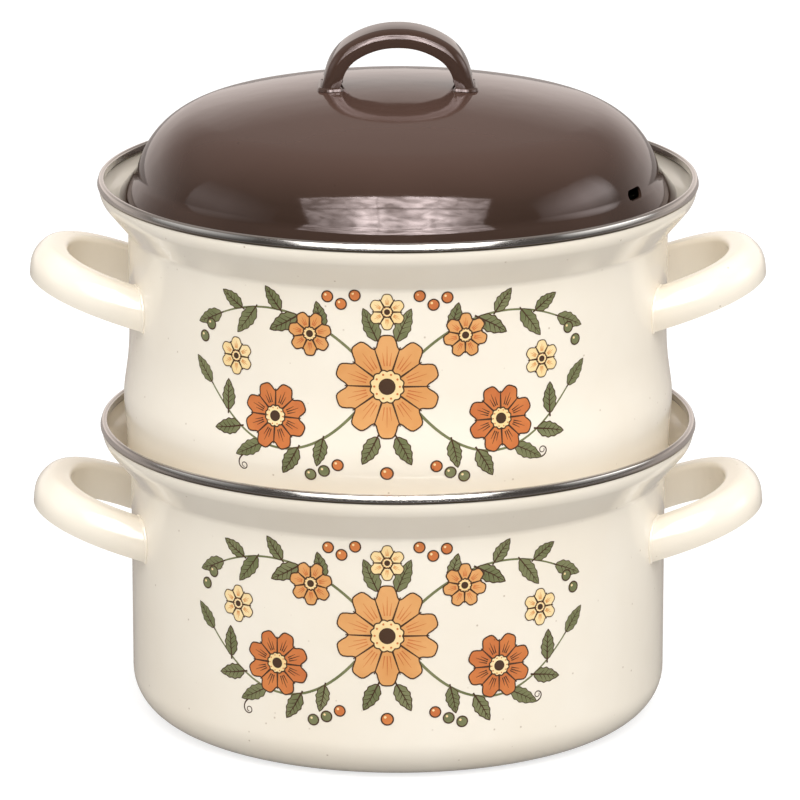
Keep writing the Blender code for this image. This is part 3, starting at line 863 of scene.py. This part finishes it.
stamp(short_leaf, 1, -4, -22, 242)
stamp(long_leaf, 1, 4, 20, 66, 0.8)
stamp(long_leaf, 1, -4, 20, 114, 0.8)
stamp(daisy, 3, 0, 33, 0, 0.95)
stamp(red_berry, 3, 0, -38, 0, 1.1)
stamp(big_bloom, 5, 0, 0)

for motif in (big_bloom, side_bloom, small_bloom, daisy, long_leaf, short_leaf, red_berry, green_berry,
              small_curl):
    for _, shape in motif:
        bpy.data.objects.remove(shape)

bpy.ops.object.select_all(action="DESELECT")
for shape in garland:
    shape.select_set(True)
bpy.context.view_layer.objects.active = garland[0]
bpy.ops.object.join()
flat_print = bpy.context.object
bpy.ops.object.mode_set(mode="EDIT")
mesh = bmesh.from_edit_mesh(flat_print.data)
mesh.normal_update()
bmesh.ops.reverse_faces(mesh, faces=[face for face in mesh.faces if face.normal.y > 0])
bmesh.update_edit_mesh(flat_print.data)
for axis, reach in (((1, 0, 0), PRINT_SIDE_REACH), ((0, 0, 1), PRINT_RISE_REACH)):
    for place in range(-reach, reach + 1, PRINT_CELL):
        bpy.ops.mesh.select_all(action="SELECT")
        bpy.ops.mesh.bisect(plane_co=[place * MM * side for side in axis], plane_no=axis)
bpy.ops.mesh.select_all(action="SELECT")
bpy.ops.mesh.quads_convert_to_tris()
bpy.ops.object.mode_set(mode="OBJECT")


def fire_print(name, pot, middle, body):
    """Bends a copy of the flat print round the wall, presses it on the pot and gives it its film."""
    bpy.ops.object.select_all(action="DESELECT")
    film = flat_print.copy()
    film.data = flat_print.data.copy()
    film.name = name
    bpy.context.scene.collection.objects.link(film)
    width = max(v.co.x for v in film.data.vertices) - min(v.co.x for v in film.data.vertices)
    bend = film.modifiers.new("bend", "SIMPLE_DEFORM")
    bend.deform_method = "BEND"
    bend.deform_axis = "Z"
    bend.angle = width / PRINT_RADIUS
    apply_all(film)
    film.data.transform(
        Matrix.Rotation(PRINT_TURN, 4, "Z") @ Matrix.Translation((0, -PRINT_RADIUS, middle)))
    for vertex in film.data.vertices:
        outward = Vector((vertex.co.x, vertex.co.y, 0))
        lift = outward.length - PRINT_RADIUS
        outward.normalize()
        spot = pot.ray_cast(outward * 0.2 + Vector((0, 0, vertex.co.z)), -outward)[1]
        vertex.co = spot + outward * lift
    give_sheet(film, FILM_SHEET, even=False)
    shade(film)
    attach(film, body)


fire_print("lower_garland", lower_pot, LOWER_PRINT_HEIGHT, "water_pot")
fire_print("steamer_garland", steamer_pot, STEAMER_PRINT_HEIGHT, "steamer")
bpy.data.objects.remove(flat_print)

# Plain studio: pale paper under the pots, soft lamps that light them evenly, and a surround that only
# their gloss sees: a creased softbox that leans over them in front, a weaker card on each side, a dim room
# with a white backdrop behind them, and a table that is dark in front and paler behind.
AIM = Vector((0.0009, 0, 0.14135))
PAPER_GREY = (0.42, 0.42, 0.42, 1.0)
PAPER_GLOW = 0.70
WORLD_LIGHT = 0.50

bpy.ops.object.select_all(action="DESELECT")
bpy.ops.mesh.primitive_plane_add(size=30, location=(0, 0, 0))
paper = bpy.context.object
paper.name = "studio_paper"
paper_white = bpy.data.materials.new("studio_paper_white")
paper_white.use_nodes = True
paper_shader = paper_white.node_tree.nodes["Principled BSDF"]
paper_shader.inputs["Base Color"].default_value = PAPER_GREY
paper_shader.inputs["Roughness"].default_value = 0.9
paper_shader.inputs["Specular IOR Level"].default_value = 0.1
paper_shader.inputs["Emission Color"].default_value = (1, 1, 1, 1)
seen = add_node(paper_white.node_tree, "ShaderNodeLightPath").outputs["Is Camera Ray"]
paper_white.node_tree.links.new(
    ramp(paper_white.node_tree, seen, 0.0, 1.0, 0.0, PAPER_GLOW), paper_shader.inputs["Emission Strength"])
paper.data.materials.append(paper_white)

world = bpy.data.worlds.new("studio_surround")
bpy.context.scene.world = world
world.use_nodes = True
surround = world.node_tree
rays = add_node(surround, "ShaderNodeLightPath").outputs
shown = add_node(surround, "ShaderNodeMath", [
    (0, rays["Is Camera Ray"]), (1, rays["Is Glossy Ray"])], operation="MAXIMUM").outputs[0]
shown = add_node(surround, "ShaderNodeMath", [
    (0, shown), (1, rays["Is Transmission Ray"])], operation="MAXIMUM").outputs[0]
backing = surround.nodes["Background"]
surround.links.new(ramp(surround, shown, 0.0, 1.0, WORLD_LIGHT, 1.0), backing.inputs["Strength"])
backing.inputs["Color"].default_value = (1, 1, 1, 1)


def soft_lamp(name, bearing, elevation, distance, width, height, radiance):
    """A flat lamp facing the pots. Bearing 0 is straight in front and positive is to the right."""
    lamp = bpy.data.lights.new(name, "AREA")
    lamp.shape = "RECTANGLE"
    lamp.size = width
    lamp.size_y = height
    lamp.energy = radiance * math.pi * width * height
    item = bpy.data.objects.new(name, lamp)
    bpy.context.scene.collection.objects.link(item)
    bearing, elevation = math.radians(bearing), math.radians(elevation)
    away = Vector((math.sin(bearing) * math.cos(elevation), -math.cos(bearing) * math.cos(elevation),
                   math.sin(elevation)))
    item.location = AIM + away * distance
    item.rotation_euler = away.to_track_quat("Z", "Y").to_euler()
    item.visible_camera = False
    item.visible_glossy = False


soft_lamp("key_lamp", 8, 44, 3.4, 3.2, 2.2, 4.3)
soft_lamp("left_fill", -78, 18, 3.0, 2.4, 2.0, 1.5)
soft_lamp("right_fill", 78, 18, 3.0, 2.4, 2.0, 1.35)
soft_lamp("top_lamp", 0, 86, 3.0, 3.0, 3.0, 1.1)


def show_in_gloss(item, strength, glow=(1, 1, 1, 1)):
    """Makes a studio card glow for reflections alone. Strength is a function that adds the glow's nodes."""
    card = bpy.data.materials.new(item.name + "_cloth")
    card.use_nodes = True
    tree = card.node_tree
    shader = tree.nodes["Principled BSDF"]
    shader.inputs["Base Color"].default_value = (0, 0, 0, 1)
    shader.inputs["Specular IOR Level"].default_value = 0.0
    shader.inputs["Emission Color"].default_value = glow
    tree.links.new(strength(tree), shader.inputs["Emission Strength"])
    item.data.materials.clear()
    item.data.materials.append(card)
    item.visible_camera = False
    item.visible_diffuse = False
    item.visible_shadow = False


def hang_card(name, bearing, distance, width, low, high, strength, lean=0.0):
    """A card that faces the pots between two heights. Lean tips its top towards them."""
    bpy.ops.object.select_all(action="DESELECT")
    bpy.ops.mesh.primitive_plane_add(size=1, rotation=(math.pi / 2, 0, 0))
    card = bpy.context.object
    card.name = name
    bpy.ops.object.transform_apply(location=True, rotation=True, scale=True)
    card.data.transform(Matrix.Diagonal((width, 1, (high - low) / math.cos(lean), 1)))
    card.data.transform(
        Matrix.Rotation(math.radians(bearing), 4, "Z")
        @ Matrix.Translation((0, -distance, (high + low) / 2)) @ Matrix.Rotation(-lean, 4, "X"))
    show_in_gloss(card, strength)


def times(tree, first, second):
    return add_node(tree, "ShaderNodeMath", [(0, first), (1, second)], operation="MULTIPLY").outputs[0]


def places(tree):
    """X, Y and Z of the object's coordinates."""
    place = add_node(tree, "ShaderNodeTexCoord").outputs["Object"]
    return add_node(tree, "ShaderNodeSeparateXYZ", [("Vector", place)]).outputs


PANE_HALF_WIDTH = 1.65
FOLD_GLOW = 6.5
PANE_GLOW = 21.0


def window_folds(tree):
    """Lamp cloth with two bright panes, a dimmer strip between them, dim edges, creases and two seams."""
    across, _, height = places(tree)
    panes = add_node(tree, "ShaderNodeValToRGB", [
        ("Fac", ramp(tree, across, -PANE_HALF_WIDTH, PANE_HALF_WIDTH))])
    bands = panes.color_ramp
    bands.interpolation = "EASE"
    bands.elements[0].position, bands.elements[0].color = 0.0, (0.22, 0.22, 0.22, 1)
    bands.elements[1].position, bands.elements[1].color = 1.0, (0.20, 0.20, 0.20, 1)
    for spot, glow in ((0.22, 0.28), (0.29, 0.50), (0.35, 1.0), (0.41, 0.92), (0.46, 0.60), (0.53, 0.70),
                       (0.60, 1.0), (0.69, 0.92), (0.77, 0.44), (0.88, 0.28)):
        bands.elements.new(spot).color = (glow, glow, glow, 1)
    place = add_node(tree, "ShaderNodeTexCoord").outputs["Object"]
    folds = add_node(tree, "ShaderNodeTexNoise", [
        ("Vector", place), ("Scale", 3.4), ("Detail", 4.0), ("Distortion", 1.2)]).outputs["Fac"]
    glow = times(tree, panes.outputs["Color"], ramp(tree, folds, 0.38, 0.66, FOLD_GLOW, PANE_GLOW))
    for value, seam, half in ((height, 1.62, 0.030), (across, -0.28, 0.014)):
        off = add_node(tree, "ShaderNodeMath", [(0, value), (1, seam)], operation="SUBTRACT").outputs[0]
        off = add_node(tree, "ShaderNodeMath", [(0, off)], operation="ABSOLUTE").outputs[0]
        glow = times(tree, glow, ramp(tree, off, half * 0.5, half * 1.6, 0.42, 1.0))
    return glow


def left_glow(tree):
    _, deep, height = places(tree)
    glow = times(tree, ramp(tree, deep, -1.7, -0.4, 0.25, 0.85), ramp(tree, height, 2.35, 1.35, 0.25, 1.0))
    return times(tree, glow, ramp(tree, height, 0.55, 1.05, 0.45, 1.0))


def right_glow(tree):
    _, deep, height = places(tree)
    glow = times(tree, ramp(tree, deep, -1.5, 0.1, 0.35, 2.6), ramp(tree, height, 2.3, 1.4, 0.2, 1.0))
    glow = times(tree, glow, ramp(tree, height, 0.60, 1.10, 0.25, 1.0))
    return times(tree, glow, ramp(tree, deep, 1.3, 0.8, 0.35, 1.0))


hang_card("studio_window", -1, 1.76, 3.10, 0.66, 2.14, window_folds, lean=math.radians(33.5))
hang_card("studio_left_card", -80, 3.0, 2.7, 0.42, 2.35, left_glow)
hang_card("studio_right_card", 88, 3.0, 2.7, 0.42, 2.3, right_glow)

TENT = 5.0
ROOM_WARMTH = (1.0, 0.90, 0.85, 1.0)


def tent_grey(tree):
    """Dark room in front and at the sides, grey above, and the white backdrop low behind the pots."""
    _, deep, height = places(tree)
    room = times(tree, ramp(tree, deep, -0.5 * TENT, 0.3 * TENT, 0.13, 0.36),
                 ramp(tree, height, 0.20 * TENT, 0.60 * TENT, 0.55, 1.0))
    backdrop = times(tree, ramp(tree, height, 0.50 * TENT, 0.22 * TENT, 0.0, 0.80),
                     ramp(tree, deep, 0.25 * TENT, 0.80 * TENT))
    return add_node(tree, "ShaderNodeMath", [(0, room), (1, backdrop)], operation="ADD").outputs[0]


bpy.ops.object.select_all(action="DESELECT")
bpy.ops.mesh.primitive_uv_sphere_add(segments=64, ring_count=32, radius=TENT, location=(0, 0, 0))
tent = bpy.context.object
tent.name = "studio_tent"
bpy.ops.object.mode_set(mode="EDIT")
bpy.ops.mesh.select_all(action="SELECT")
bpy.ops.mesh.bisect(plane_co=(0, 0, 0.05), plane_no=(0, 0, 1), clear_inner=True)
bpy.ops.object.mode_set(mode="OBJECT")
show_in_gloss(tent, tent_grey, ROOM_WARMTH)


def table_dim(tree):
    """Dark in front, where the table ends, and pale behind the pots."""
    _, deep, _ = places(tree)
    return ramp(tree, deep, -0.25, 0.45, 0.17, 0.46)


bpy.ops.object.select_all(action="DESELECT")
bpy.ops.mesh.primitive_plane_add(size=1)
table = bpy.context.object
table.name = "studio_floor_card"
table.data.transform(Matrix.Translation((0, 0, 0.001)) @ Matrix.Diagonal((9.0, 9.0, 1, 1)))
show_in_gloss(table, table_dim, ROOM_WARMTH)

CAMERA_LENS = 262.35
CAMERA_SENSOR = 36
CAMERA_DISTANCE = 2.626
CAMERA_RISE = math.radians(15.19)

camera_data = bpy.data.cameras.new("camera")
camera_data.lens = CAMERA_LENS
camera_data.sensor_width = CAMERA_SENSOR
camera = bpy.data.objects.new("camera", camera_data)
bpy.context.scene.collection.objects.link(camera)
camera.location = AIM + CAMERA_DISTANCE * Vector((0, -math.cos(CAMERA_RISE), math.sin(CAMERA_RISE)))
camera.rotation_euler = (math.pi / 2 - CAMERA_RISE, 0, 0)
bpy.context.scene.camera = camera

bpy.context.scene.view_settings.view_transform = "Standard"
